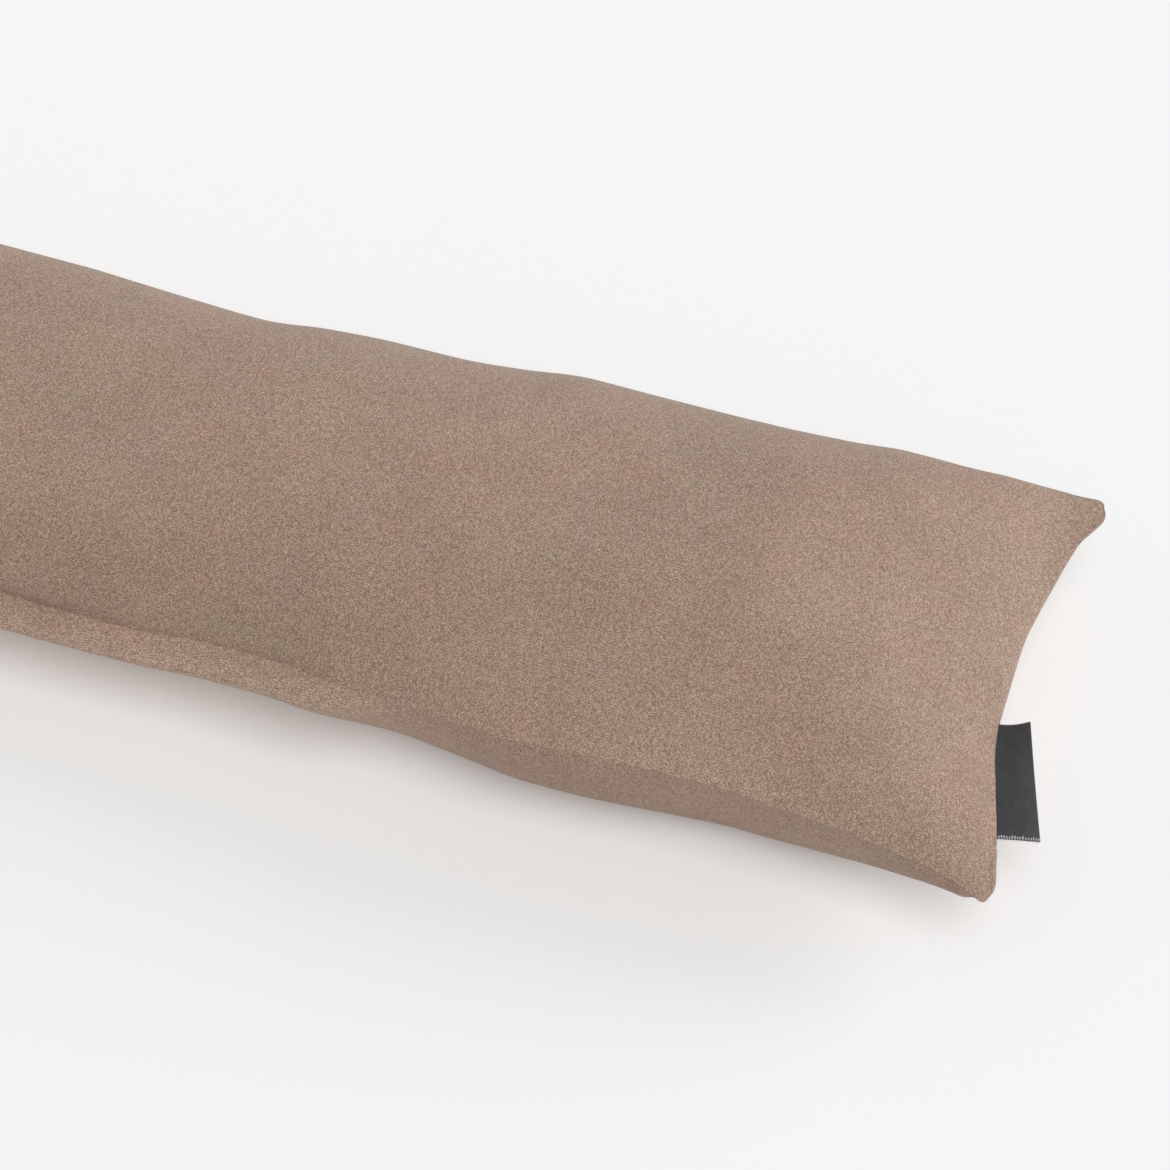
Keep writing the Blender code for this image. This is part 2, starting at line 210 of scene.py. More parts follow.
# The side tab. It reaches as far out as the solid, but its long edges are sewn in, and its
# cloth is thinner: the two layers lie close together at the seam and part towards the fold.
TAB_FRONT_Y = -64.8 * MM
TAB_BACK_Y = -16.7 * MM
TAB_OUT_AT_FRONT = 15.0 * MM
TAB_OUT_AT_BACK = 11.0 * MM
TAB_SEWN_IN = 1.0 * MM
TAB_CLOTH = 0.35 * MM
TAB_HALF_GAP_AT_SEAM = 0.10 * MM
TAB_FOLD_RADIUS = 0.2 * MM  # inside the fold
TAB_CURL_AT_BACK = 4.2 * MM
TAB_CURL_AT_FRONT = -0.5 * MM
TAB_SECTIONS = 61
TAB_STEPS = 14
FOLD_POINTS = 15

# Thread ends that stand out of the tab's cut edge at the front.
THREAD_SPACING = 0.95 * MM
THREAD_RADIUS = 0.11 * MM
THREAD_LENGTHS = (0.5 * MM, 0.9 * MM)
THREAD_SIDES = 6
THREAD_RINGS = ((-0.3, 1), (0.6, 0.9), (1, 0.5))  # (share of the length, share of the radius)
THREAD_LEAN = 0.5
THREAD_NOISE = (1.7, 0.3, 0.9)  # its x for each thread, its y and its z
LEAN_NOISE = (2.1, 3.3)  # times that place, for the leans along x and z

# The cover's cloth: short floats of mixed yarns in fine rows.
CLOTH_COLOUR = (157, 133, 117)  # sRGB as lit
CLOTH_LIGHT = 0.865  # what the light multiplies it by
CLOTH_TONES = ((0, -66), (0.25, -33), (0.5, 0), (0.75, 34), (1, 72))  # sRGB steps from it
YARN = 0.36 * MM
YARN_LENGTH = 0.54 * MM
ROW_LEAN = 0.12  # how far the rows lean forward, per length along the cover
ROW_SHIFT = 0.5  # of every second row, in floats
YARN_WANDER = 0.35 * MM
WANDER_SIZE = 7 * MM
YARN_SPREAD = 0.42  # how much the yarns' tones differ
NEIGHBOUR = 0.13  # share of the tone of the next yarns that is taken off, for an even spread
OVER_UNDER = 0.05
RIB_PITCH = 1.0 * MM
RIB = 0.13
RIB_PATCH = 25 * MM  # size of the patches where the rib shows
RIB_SHOWS = (0.40, 0.60)  # noise values between which it comes in
STREAKS = ((1.7 * MM, 0.24), (5 * MM, 0.05))  # size and strength of uneven tone

# Blotches of reddish and of greenish grey yarn, as (size, noise value at which the first is full,
# noise value at which the second is), and slow changes of depth.
BLOTCHES = ((11 * MM, 0.34, 0.66), (32 * MM, 0.36, 0.64))
REDDISH = (1.015, 0.992, 0.994)
GREENISH = (0.985, 1.006, 0.992)
DEPTH_SIZE = 60 * MM
DEPTH_STOPS = ((0.35, (0.97,) * 3), (0.65, (1.03,) * 3))

# The rolled edge of an end seam has a painted highlight: it is painted a little lighter.
ROLLED_EDGE_HIGHLIGHT_ENDS = (3.0 * MM, 4.5 * MM)  # distance from the seam over which it ends
ROLLED_EDGE_PAINTED_HIGHLIGHT = (1.03, 1.03, 1.05, 1)

# Painted light and shade: away from the tabbed end the front side is painted a little deeper in tone
# as shade, and the lip below its seam paler as light. Nearer to that end the cloth below the seam is
# painted deeper, as shade.
PAINTED_TONES_AWAY_FROM_TAB = (215 * MM, 300 * MM)  # x over which the tones change
PAINTED_TONES_FRONT_SIDE = (-66 * MM, -38 * MM)  # y over which they fade out towards the back
SIDE_PAINTED_SHADE = (0.91, 0.90, 0.89, 1)
SIDE_UNSHADED = (1, 1, 1, 1)
LIP_PAINTED_LIGHT = (1.09, 1.09, 1.10, 1)
LIP_PAINTED_SHADE = (0.89, 0.86, 0.845, 1)

# Height of the cover's weave for its bump, and its shine.
FLOAT_ROUND = 0.35
YARN_STANDS = 0.5
CLOTH_BUMP = (0.5, 0.15 * MM)  # strength, distance
CLOTH_ROUGHNESS = (0.12, 0.82)  # how much it differs, and the least of it
CLOTH_SPECULAR = 0.2
CLOTH_SHEEN = 0.12
CLOTH_SHEEN_ROUGHNESS = 0.5

# The tab's tape, close woven with a fine rib across it.
TAPE_COLOUR = (60, 60, 62)  # sRGB as lit
TAPE_LIGHT = 0.88
TAPE_TONES = ((0, -16), (0.5, 0), (1, 18))
PICK = 0.32 * MM  # spacing along the tape
WARP = 0.24 * MM  # spacing across it
TAPE_YARN_SPREAD = 0.35
TAPE_OVER_UNDER = 0.25
TAPE_WEAR_SIZE = 6 * MM
TAPE_WEAR_ROUGHNESS = 0.6  # of its noise
TAPE_WEAR = 0.5
WARP_HEIGHT = 0.6  # of a pick's
TAPE_BUMP = (0.35, 0.08 * MM)
TAPE_ROUGHNESS = (0.25, 0.5)
TAPE_SPECULAR = 0.35

# Painted highlight: the tape is lighter towards the fold and at the back cut edge. The front cut face
# is darker, and pale thread ends show along it.
FOLD_HIGHLIGHT_RANGE = (-9 * MM, -0.5 * MM)  # distance out past the fold
FOLD_PAINTED_HIGHLIGHT = (1.28, 1.28, 1.28, 1)
BACK_CUT_HIGHLIGHT_RANGE = (TAB_BACK_Y - 0.9 * MM, TAB_BACK_Y - 0.3 * MM)  # y over which the painted highlight comes in
BACK_CUT_PAINTED_HIGHLIGHT = (1.5, 1.5, 1.5, 1)
CUT_FACE = (0.02 * MM, 0.06 * MM)  # distance from the front cut over which its face ends
CUT_FACE_TINT = (0.6, 0.6, 0.6, 1)
UPPER_LAYER = (0, 0.1 * MM)  # height over which the pale threads come in
TICK_SHORTEST = 0.5 * MM
TICK_DIFFERS = 0.7 * MM  # how much longer than that a thread may be
TICK_SIDE = (0.5, 0.75)  # where a thread's side is, on the hump over its spacing
PALE_THREAD = (0.50, 0.49, 0.48)

# The thread ends that stand out.
THREAD_SHADE_SIZE = 0.5 * MM
THREAD_SHADES = ((0.3, (0.30, 0.295, 0.29)), (0.7, (0.66, 0.65, 0.64)))
THREAD_ROUGHNESS = 0.8

TINY = 1e-12  # the least length that a vector is divided by


# The cover's smooth form.

def column(table, names, name):
    """One column of a table. All but the shares are lengths."""
    values = np.array([row[names.index(name)] for row in table], float)
    return values if name == "across" else values * MM


def smooth_curve(x, places, values):
    """A cubic curve through the values at the places, without overshoot."""
    step = np.diff(places)
    slope = np.diff(values) / step
    before, after = slope[:-1], slope[1:]
    turns = before * after <= 0
    weight_before = 2 * step[1:] + step[:-1]
    weight_after = step[1:] + 2 * step[:-1]
    total = weight_before / np.where(turns, 1, before) + weight_after / np.where(turns, 1, after)
    total = np.where(turns, 1, total)
    tangent = np.zeros(len(places))
    tangent[1:-1] = np.where(turns, 0, (weight_before + weight_after) / total)
    x = np.clip(x, places[0], places[-1])
    i = np.clip(np.searchsorted(places, x, side="right") - 1, 0, len(step) - 1)
    t = (x - places[i]) / step[i]
    rise = values[i + 1] - values[i]
    start = tangent[i] * step[i]
    end = tangent[i + 1] * step[i]
    square = 3 * rise - 2 * start - end
    cube = start + end - 2 * rise
    return values[i] + t * (start + t * (square + t * cube))


def section_value(name, x):
    """A column of SECTIONS, read at any x."""
    places = column(SECTIONS, SECTION_COLUMNS, "x")
    return smooth_curve(x, places, column(SECTIONS, SECTION_COLUMNS, name))


def end_inset(end, skew, y, front, back):
    """How far an end seam is from HALF_LENGTH at each y."""
    across = y / np.where(y < 0, front, back)
    places = column(end, END_COLUMNS, "across")
    return smooth_curve(across, places, column(end, END_COLUMNS, "drawn_in")) + skew / 2 * across


def bezier(corners, t):
    p0, p1, p2, p3 = (np.array(corner) for corner in corners)
    t = t[:, None]
    left = 1 - t
    return p0 * left**3 + 3 * p1 * t * left**2 + 3 * p2 * t**2 * left + p3 * t**3


def filled_out(from_end, length, sharpness, power):
    """Rises from 0 at an end seam to 1 at the given distance from it."""
    part = min(from_end / length, 1)
    return (1 - (1 - part) ** sharpness) ** power


def corner_rounding(from_end):
    """How much a corner's rounding takes off a half width."""
    inside = max(1 - from_end / CORNER_RADIUS, 0)
    return CORNER_RADIUS * (1 - math.sqrt(1 - inside * inside))


def side_curve(stuffed, seam_y, seam_z, level_z, handle_in, handle_up, shoulder, landing):
    """Half a panel's section, from a side seam to where the panel is level."""
    inward = -math.copysign(1, seam_y)
    half_width = abs(seam_y)
    flat = 1 - stuffed
    handle = half_width - handle_in * stuffed - half_width * EDGE_HANDLE * flat
    shoulder = shoulder * stuffed + half_width * EDGE_SHOULDER * flat
    landing = landing * stuffed + half_width * EDGE_LANDING * flat
    corners = (
        (seam_y, seam_z),
        (-inward * handle, seam_z + handle_up * stuffed + (level_z - seam_z) * EDGE_RISE),
        (-inward * shoulder, level_z),
        (-inward * landing, level_z),
    )
    return bezier(corners, np.linspace(0, 1, CURVE_POINTS) ** CROWDING)


def with_lip(row, front_seam, stand_out, stuffed):
    """Lets the underside's front side stand out just below the seam."""
    below = (front_seam - row[:, 1]) / LIP_DROP
    swell = LIP_SHARE * stand_out * stuffed
    row[:, 0] -= swell * below * np.exp(1 - below)
    return row


def with_shelf(row, stand_out):
    """Makes the lip a flatter shelf, which turns under in a closer curve."""
    inward, down = np.diff(row, axis=0).T * np.array([[1], [-1]])
    turned = int(np.argmax(inward > LIP_TURNS_UNDER * down))
    start, stop = row[0], row[turned]
    out = np.array((-math.cos(LIP_SLOPE), -math.sin(LIP_SLOPE)))
    under = row[turned + 1] - row[turned]
    reach = np.linalg.solve(np.column_stack([out, under]), stop - start)[0]
    t = np.linspace(0, 1, turned + 1)[:, None]
    weights = (1 - t) ** 2, 2 * LIP_CREASE * t * (1 - t), t**2
    shelf = weights[0] * start + weights[1] * (start + out * reach) + weights[2] * stop
    flat = min(max((stand_out - LIP_FROM) / LIP_OVER, 0), 1)
    row[: turned + 1] += flat * (shelf / sum(weights) - row[: turned + 1])
    return row


def section(x):
    """The top and bottom rows of the cover's section at x, from the front to the back seam."""
    from_end = HALF_LENGTH - abs(x)
    if x > 0:
        end, skew, end_height = TABBED_END, TABBED_END_SKEW, TABBED_END_HEIGHT
    else:
        end, skew, end_height = PLAIN_END, PLAIN_END_SKEW, PLAIN_END_HEIGHT
    values = [section_value(name, x) for name in SECTION_COLUMNS[1:]]
    front, back, front_seam, back_seam, crown, front_foot, back_foot = values[:7]
    shoulder, slope_in, stand_out, drop = values[7:]

    top_stuffed = filled_out(from_end, *TOP_EDGE_FILLS)
    underside_stuffed = filled_out(from_end, *UNDERSIDE_EDGE_FILLS)
    rolled = max(1 - from_end / EDGE_ROLL, 0)
    edge = SEAM_EDGE / 2 * math.sqrt(1 - rolled * rolled)
    front = front - corner_rounding(from_end)
    back = back - corner_rounding(from_end)
    crown = end_height + edge + (crown - end_height) * filled_out(from_end, *TOP_RISES)
    landed = filled_out(from_end, *UNDERSIDE_LANDS)
    underside = end_height - edge - (end_height - SEAM_EDGE / 2) * landed

    front_rise = (crown - front_seam) * SIDE_FULLNESS
    back_rise = (crown - back_seam) * SIDE_FULLNESS
    back_drop = (back_seam - underside) * SIDE_FULLNESS
    front_heel = front_foot + (front - front_foot) * UNDERSIDE_FULLNESS
    back_heel = back_foot + (back - back_foot) * UNDERSIDE_FULLNESS
    top_front = side_curve(
        top_stuffed, -front, front_seam, crown, slope_in, front_rise, shoulder, front * TOP_LEVEL,
    )
    top_back = side_curve(
        top_stuffed, back, back_seam, crown, 0, back_rise, back * TOP_FULLNESS, back * TOP_LEVEL,
    )
    bottom_front = side_curve(
        underside_stuffed, -front, front_seam, underside, -stand_out, -drop, front_heel, front_foot,
    )
    bottom_front = with_lip(bottom_front, front_seam, stand_out, underside_stuffed)
    bottom_front = with_shelf(bottom_front, stand_out)
    bottom_back = side_curve(
        underside_stuffed, back, back_seam, underside, 0, -back_drop, back_heel, back_foot,
    )

    fade = 1 - filled_out(from_end, *END_SHOWS)
    fade = fade * fade * (3 - 2 * fade)

    def placed(row):
        inset = end_inset(end, skew, row[:, 0], front, back) * fade
        return np.column_stack([math.copysign(1, x) * (abs(x) - inset), row])

    return (
        placed(np.vstack([top_front, top_back[::-1]])),
        placed(np.vstack([bottom_front, bottom_back[::-1]])),
    )


def resampled(row, shares):
    """The points of a row at shares of its length."""
    steps = np.linalg.norm(np.diff(row, axis=0), axis=1)
    along = np.concatenate([[0], np.cumsum(steps)])
    places = shares * along[-1]
    return np.column_stack([np.interp(places, along, row[:, i]) for i in range(3)])


def panel_shares():
    """Where a ring's vertices are, as shares of the way from the front to the back seam."""
    near = np.array(SEAM_PLACES) * MM / PANEL_WIDTH
    middle = np.linspace(near[-1], 1 - near[-1], PANEL_STEPS + 1)[1:-1]
    return np.concatenate([near, middle, 1 - near[::-1]])


def ring_places():
    """The x of each ring of vertices, before the ends are drawn in."""
    ends = HALF_LENGTH - np.array(END_PLACES) * MM
    count = round(2 * ends[-1] / RING_STEP)
    middle = np.linspace(-ends[-1], ends[-1], count + 1)[1:-1]
    return np.concatenate([-ends, middle, ends[::-1]])


def cover_grids():
    """Top and bottom points as arrays of rings by places across."""
    shares = panel_shares()
    top = []
    bottom = []
    for x in ring_places():
        upper, lower = section(x)
        top.append(resampled(upper, shares))
        bottom.append(resampled(lower, shares))
    top, bottom = np.array(top), np.array(bottom)
    for ring in (0, -1):
        seam = (top[ring] + bottom[ring]) / 2
        top[ring] = seam
        bottom[ring] = seam
    return top, bottom


# The cover's cloth form.

def unit(vectors):
    length = np.linalg.norm(vectors, axis=-1, keepdims=True)
    return vectors / np.maximum(length, TINY)


def grid_normals(grid):
    return unit(np.cross(np.gradient(grid, axis=0), np.gradient(grid, axis=1)))


def from_seams(grid):
    """Lengths along the cloth at each point: to the nearest side seam and to the nearest end seam,
    along the cover from its middle, and across from the front seam."""
    across = np.linalg.norm(np.diff(grid, axis=1), axis=2)
    from_front = np.concatenate([np.zeros((len(grid), 1)), np.cumsum(across, axis=1)], axis=1)
    from_back = from_front[:, -1:] - from_front
    along = np.linalg.norm(np.diff(grid, axis=0), axis=2)
    from_left = np.concatenate([np.zeros((1, grid.shape[1])), np.cumsum(along, axis=0)])
    from_right = from_left[-1:] - from_left
    return (
        np.minimum(from_front, from_back),
        np.minimum(from_left, from_right),
        from_left - from_left[-1:] / 2,
        from_front,
    )


def relief(grid, side, end, seed):
    """How far each point of a panel stands out of its smooth form."""
    nearest = np.minimum(side, end)
    lumps = np.zeros(nearest.shape)
    stripes = np.zeros(nearest.shape)
    for r, k in np.ndindex(nearest.shape):
        point = Vector(grid[r, k])
        for size, depth in LUMPS:
            lumps[r, k] += noise.noise(point / size + Vector((seed, 0, 0))) * depth
        stripe = (grid[r, k, 0] / PUCKER_LENGTH, seed * PUCKER_NOISE[0], PUCKER_NOISE[1])
        stripes[r, k] = noise.noise(Vector(stripe))
    height = lumps * np.clip(nearest / LUMPS_START, 0, 1)
    height += np.exp(-((nearest / PUCKER_REACH) ** 2)) * stripes * PUCKER_DEPTH
    height -= GROOVE_DEPTH * np.exp(-((side / GROOVE_WIDTH) ** 2))
    height *= np.clip(end / SEAM_FADE, 0, 1)
    away = np.clip(side / SEAM_FADE, 0, 1)
    for from_edge, width, ridge in HEM:
        height += ridge * away * np.exp(-(((end - from_edge) / width) ** 2))
    dent = ((grid[:, :, 0] - DENT_AT[0]) / DENT_RADII[0]) ** 2
    dent += ((grid[:, :, 1] - DENT_AT[1]) / DENT_RADII[1]) ** 2
    height -= DENT_DEPTH * np.exp(-dent)
    height[[0, -1]] = 0
    return height


def open_pocket(top, bottom):
    """Parts the two panels along the tab, so that its edges can go in between them."""
    seam = top[-1].copy()
    inside = (seam[:, 1] > TAB_FRONT_Y) & (seam[:, 1] < TAB_BACK_Y)
    inside[:-1] |= inside[1:]
    inside[1:] |= inside[:-1]
    lip = -1 - END_PLACES.index(POCKET_LIP_RING)
    for grid, up in ((top, 1), (bottom, -1)):
        for place in POCKET_RINGS:
            ring = -1 - END_PLACES.index(place)
            grid[ring, inside, 0] = seam[inside, 0] - POCKET_DEPTH * (1 - place)
            grid[ring, inside, 2] = seam[inside, 2] + up * (POCKET_HALF_HEIGHT if place else 0)
        clear = seam[inside, 2] + up * POCKET_LIP * POCKET_HALF_HEIGHT
        grid[lip, inside, 2] = up * np.maximum(up * grid[lip, inside, 2], up * clear)


class Panel:
    """The top or the underside: its points as rings by places across, and what goes with each."""

    def __init__(self, grid, seed, facing):
        self.grid = grid
        self.side, self.end, self.along, self.across = from_seams(grid)
        self.normals = grid_normals(grid) * facing
        self.height = relief(grid, self.side, self.end, seed)

    def details(self, is_underside):
        """What the material reads: the place on the cloth, and the distances from the seams."""
        which = np.full(self.side.shape, float(is_underside))
        return (
            np.dstack([self.along, self.across, which]),
            np.dstack([self.side, self.end, which]),
        )


def cover_mesh():
    """Vertices, faces and the material's details of the cover. The panels share their borders."""
    top_grid, bottom_grid = cover_grids()
    top = Panel(top_grid, TOP_SEED, 1)
    bottom = Panel(bottom_grid, UNDERSIDE_SEED, -1)
    # Where the two panels meet, they share the mean of their normals and heights.
    for k in (0, -1):
        normals = unit(top.normals[:, k] + bottom.normals[:, k])
        height = (top.height[:, k] + bottom.height[:, k]) / 2
        for panel in (top, bottom):
            panel.normals[:, k] = normals
            panel.height[:, k] = height
    for panel in (top, bottom):
        panel.grid += panel.normals * panel.height[:, :, None]
        panel.grid[:, :, 2] = np.maximum(panel.grid[:, :, 2], 0)
    open_pocket(top.grid, bottom.grid)

    rings, across = top.side.shape
    index_top = np.arange(rings * across).reshape(rings, across)
    index_bottom = index_top.copy()
    inner = index_bottom[1:-1, 1:-1]
    inner[:] = rings * across + np.arange(inner.size).reshape(inner.shape)

    def joined(of_top, of_bottom):
        return np.concatenate([of_top.reshape(-1, 3), of_bottom[1:-1, 1:-1].reshape(-1, 3)])

    verts = joined(top.grid, bottom.grid)
    cloth, edges = map(joined, top.details(False), bottom.details(True))
    faces = []
    for index, turn in ((index_top, 1), (index_bottom, -1)):
        corners = index[:-1, :-1], index[1:, :-1], index[1:, 1:], index[:-1, 1:]
        faces.extend(np.dstack(corners).reshape(-1, 4)[:, ::turn].tolist())
    return verts, faces, cloth, edges


# The tab and its thread ends.

def tab_outline(out):
    """Outline of the folded tape, as distances outward and upward from the seam line."""
    fold = out - TAB_FOLD_RADIUS - TAB_CLOTH

    def line(cloth):
        points = []
        for share in np.linspace(0, 1, TAB_STEPS, endpoint=False):
            eased = share * share * (3 - 2 * share)
            half = TAB_HALF_GAP_AT_SEAM + (TAB_FOLD_RADIUS - TAB_HALF_GAP_AT_SEAM) * eased
            points.append((-TAB_SEWN_IN + (fold + TAB_SEWN_IN) * share, half + cloth))
        radius = TAB_FOLD_RADIUS + cloth
        for angle in np.linspace(math.pi / 2, -math.pi / 2, FOLD_POINTS):
            points.append((fold + radius * math.cos(angle), radius * math.sin(angle)))
        return points + [(distance, -up) for distance, up in reversed(points[:TAB_STEPS])]

    return line(TAB_CLOTH), line(0)


def tab_stations():
    """Along the tape: place on the seam, outward direction, reach and lift of its fold."""
    top, bottom = section(HALF_LENGTH)
    front, back = -top[0, 1], top[-1, 1]
    y = np.linspace(TAB_FRONT_Y, TAB_BACK_Y, TAB_SECTIONS)
    x = HALF_LENGTH - end_inset(TABBED_END, TABBED_END_SKEW, y, front, back)
    z = sum(np.interp(y, line[:, 1], line[:, 2]) for line in (top, bottom)) / 2
    slope = np.gradient(x, y)
    share = np.linspace(0, 1, TAB_SECTIONS)
    out = TAB_OUT_AT_FRONT + (TAB_OUT_AT_BACK - TAB_OUT_AT_FRONT) * share
    curl = TAB_CURL_AT_FRONT + (TAB_CURL_AT_BACK - TAB_CURL_AT_FRONT) * share**2
    length = np.hypot(1, slope)
    places = np.column_stack([x, y, z])
    outward = np.column_stack([1 / length, -slope / length, 0 * slope])
    # The fold is straight, although the seam is curved.
    ends = (places + outward * out[:, None])[[0, -1]]
    fold = ends[1] - ends[0]
    missing = ends[0] - places
    out = (missing[:, 0] * fold[1] - missing[:, 1] * fold[0]) / (
        outward[:, 0] * fold[1] - outward[:, 1] * fold[0]
    )
    return list(zip(places, outward, out, curl))


def on_tab(station, distance, up):
    """The point of the tape at a distance outward and upward from the seam line."""
    place, outward, out, curl = station
    point = place + outward * distance
    point[2] += up + curl * (max(distance, 0) / out) ** 2
    return point


def tab_mesh():
    """Vertices and faces of the tape, and for each vertex its place on the tape."""
    verts = []
    tape = []
    loops = []
    for station in tab_stations():
        place, _, out, _ = station
        outer, inner = tab_outline(out)
        outline = outer + inner[::-1]
        loops.append(range(len(verts), len(verts) + len(outline)))
        for distance, up in outline:
            verts.append(on_tab(station, distance, up))
            tape.append((distance - out, place[1], up))
    faces = []
    count = len(loops[0])
    half = count // 2
    for near, far in zip(loops, loops[1:]):
        for i in range(count):
            j = (i + 1) % count
            faces.append((near[i], near[j], far[j], far[i]))
    for loop, flip in ((loops[0], False), (loops[-1], True)):
        outer, inner = loop[:half], loop[:half - 1:-1]
        for a, b, c, d in zip(outer, outer[1:], inner[1:], inner):
            faces.append((a, b, c, d) if flip else (d, c, b, a))
    return verts, faces, tape


def threads_mesh():
    """Short thread ends along the tape's front cut edge, on both of its layers."""
    station = tab_stations()[0]
    _, outward, out, _ = station
    outer, inner = tab_outline(out)
    middle = (np.array(outer) + np.array(inner)) / 2
    steps = np.hypot(*np.diff(middle, axis=0).T)
    along = np.concatenate([[0], np.cumsum(steps)])
    places = np.arange(TAB_SEWN_IN + THREAD_SPACING / 2, along[-1] - TAB_SEWN_IN, THREAD_SPACING)
    cut = np.array((outward[1], -outward[0], 0))
    shortest, longest = THREAD_LENGTHS
    verts = []
    faces = []
    for number, place in enumerate(places):
        distance, up = (np.interp(place, along, middle[:, i]) for i in (0, 1))
        start = on_tab(station, distance, up)
        stray = Vector((number * THREAD_NOISE[0], *THREAD_NOISE[1:]))
        length = shortest + (longest - shortest) * (0.5 + noise.noise(stray))
        sideways, upward = (noise.noise(stray * factor) for factor in LEAN_NOISE)
        direction = cut + np.array((sideways, 0, upward)) * THREAD_LEAN
        base = len(verts)
        for share, radius in THREAD_RINGS:
            centre = start + direction * length * share
            for angle in np.linspace(0, 2 * math.pi, THREAD_SIDES, endpoint=False):
                turn = np.array((math.cos(angle), 0, math.sin(angle)))
                verts.append(centre + turn * THREAD_RADIUS * radius)
        for ring in (base, base + THREAD_SIDES):
            for i in range(THREAD_SIDES):
                j = (i + 1) % THREAD_SIDES
                faces.append((ring + i, ring + j, ring + THREAD_SIDES + j, ring + THREAD_SIDES + i))
        faces.append(tuple(range(base + THREAD_SIDES - 1, base - 1, -1)))
        faces.append(tuple(range(base + 2 * THREAD_SIDES, base + 3 * THREAD_SIDES)))
    return verts, faces


# Objects and materials.

def add_mesh(name, verts, faces, material, smooth=True):
    mesh = bpy.data.meshes.new(name)
    mesh.from_pydata([tuple(vert) for vert in verts], [], faces)
    mesh.polygons.foreach_set("use_smooth", [smooth] * len(mesh.polygons))
    mesh.materials.append(material)
    mesh.update()
    obj = bpy.data.objects.new(name, mesh)
    bpy.context.scene.collection.objects.link(obj)
    return obj


def store(obj, name, values):
    """Keeps a vector for each vertex, for the material to read."""
    attribute = obj.data.attributes.new(name, "FLOAT_VECTOR", "POINT")
    attribute.data.foreach_set("vector", np.array(values, float).ravel())


class Nodes:
    """Short calls for building a material's nodes."""

    def __init__(self, name):
        self.material = bpy.data.materials.new(name)
        self.material.use_nodes = True
        self.tree = self.material.node_tree
        self.shader = self.tree.nodes["Principled BSDF"]

    def add(self, kind, inputs=None, **settings):
        node = self.tree.nodes.new(kind)
        for name, value in settings.items():
            setattr(node, name, value)
        for name, value in (inputs or {}).items():
            self.plug(node.inputs[name], value)
        return node

    def plug(self, socket, value):
        if isinstance(value, bpy.types.NodeSocket):
            self.tree.links.new(value, socket)
        else:
            socket.default_value = value

    def shade(self, **values):
        """Sets inputs of the shader, with _ for the spaces in their names."""
        for name, value in values.items():
            self.plug(self.shader.inputs[name.replace("_", " ")], value)

    def attribute(self, name):
        """A vector that store keeps."""
        return self.add("ShaderNodeAttribute", attribute_name=name).outputs["Vector"]

    def object_place(self):
        return self.add("ShaderNodeTexCoord").outputs["Object"]

    def split(self, vector):
        return self.add("ShaderNodeSeparateXYZ", {0: vector}).outputs

    def join(self, *values):
        return self.add("ShaderNodeCombineXYZ", dict(enumerate(values))).outputs[0]

    def maths(self, operation, a, b=0.0):
        return self.add("ShaderNodeMath", {0: a, 1: b}, operation=operation).outputs[0]

    def plus(self, *values):
        """The sum of two or more values."""
        total = values[0]
        for value in values[1:]:
            total = self.maths("ADD", total, value)
        return total

    def times(self, a, b):
        return self.maths("MULTIPLY", a, b)

    def divide(self, a, b):
        return self.maths("DIVIDE", a, b)

    def minus(self, a, b):
        return self.maths("SUBTRACT", a, b)

    def floor(self, value):
        return self.maths("FLOOR", value)

    def inverse(self, value):
        return self.minus(1.0, value)

    def alternate(self, value):
        """0 and 1 in turn on whole numbers."""
        return self.maths("PINGPONG", value, 1.0)

    def hump(self, value):
        """Rises from 0 to 1 and falls again over each whole number."""
        return self.maths("SINE", self.times(self.maths("FRACT", value), math.pi))

    def centred(self, value, spread):
        """A value between 0 and 1, scaled and moved to be around 0."""
        return self.times(self.minus(value, 0.5), spread)

    def band(self, value, low, high):
        """Rises smoothly from 0 at low to 1 at high."""
        node = self.add(
            "ShaderNodeMapRange", {"Value": value, "From Min": low, "From Max": high},
            interpolation_type="SMOOTHSTEP",
        )
        return node.outputs["Result"]

    def vector(self, operation, a, b):
        return self.add("ShaderNodeVectorMath", {0: a, 1: b}, operation=operation).outputs[0]

    def cell_value(self, cell, dimensions="3D"):
        """A random value between 0 and 1 for each cell."""
        node = self.add("ShaderNodeTexWhiteNoise", {"Vector": cell}, noise_dimensions=dimensions)
        return node.outputs["Value"]

    def noise(self, vector, size, detail=1.0, roughness=0.5, output="Fac"):
        """Noise of a feature size, in the units of the vector."""
        inputs = {"Vector": vector, "Scale": 1 / size, "Detail": detail, "Roughness": roughness}
        return self.add("ShaderNodeTexNoise", inputs).outputs[output]

    def mix(self, kind, factor, a, b):
        node = self.add("ShaderNodeMix", data_type="RGBA", blend_type=kind)
        self.plug(node.inputs[0], factor)
        self.plug(node.inputs[6], a)
        self.plug(node.inputs[7], b)
        return node.outputs[2]

    def tinted(self, colour, tint, share=1.0):
        return self.mix("MULTIPLY", share, colour, tint)

    def ramp(self, factor, stops):
        node = self.add("ShaderNodeValToRGB", {"Fac": factor})
        elements = node.color_ramp.elements
        while len(elements) < len(stops):
            elements.new(0.5)
        for element, (place, colour) in zip(elements, stops):
            element.position = place
            element.color = (*colour, 1)
        return node.outputs["Color"]

    def bump(self, height, strength, distance):
        inputs = {"Height": height, "Strength": strength, "Distance": distance}
        return self.add("ShaderNodeBump", inputs).outputs[0]


def linear(level):
    """The linear value of an sRGB level between 0 and 255."""
    level = level / 255
    return level / 12.92 if level <= 0.04045 else ((level + 0.055) / 1.055) ** 2.4


def tone_stops(mean, tones, light):
    """Ramp stops that keep a colour's hue: each adds the same sRGB step to all three channels."""
    return tuple(
        (place, tuple(linear(level + step) / light for level in mean)) for place, step in tones
    )


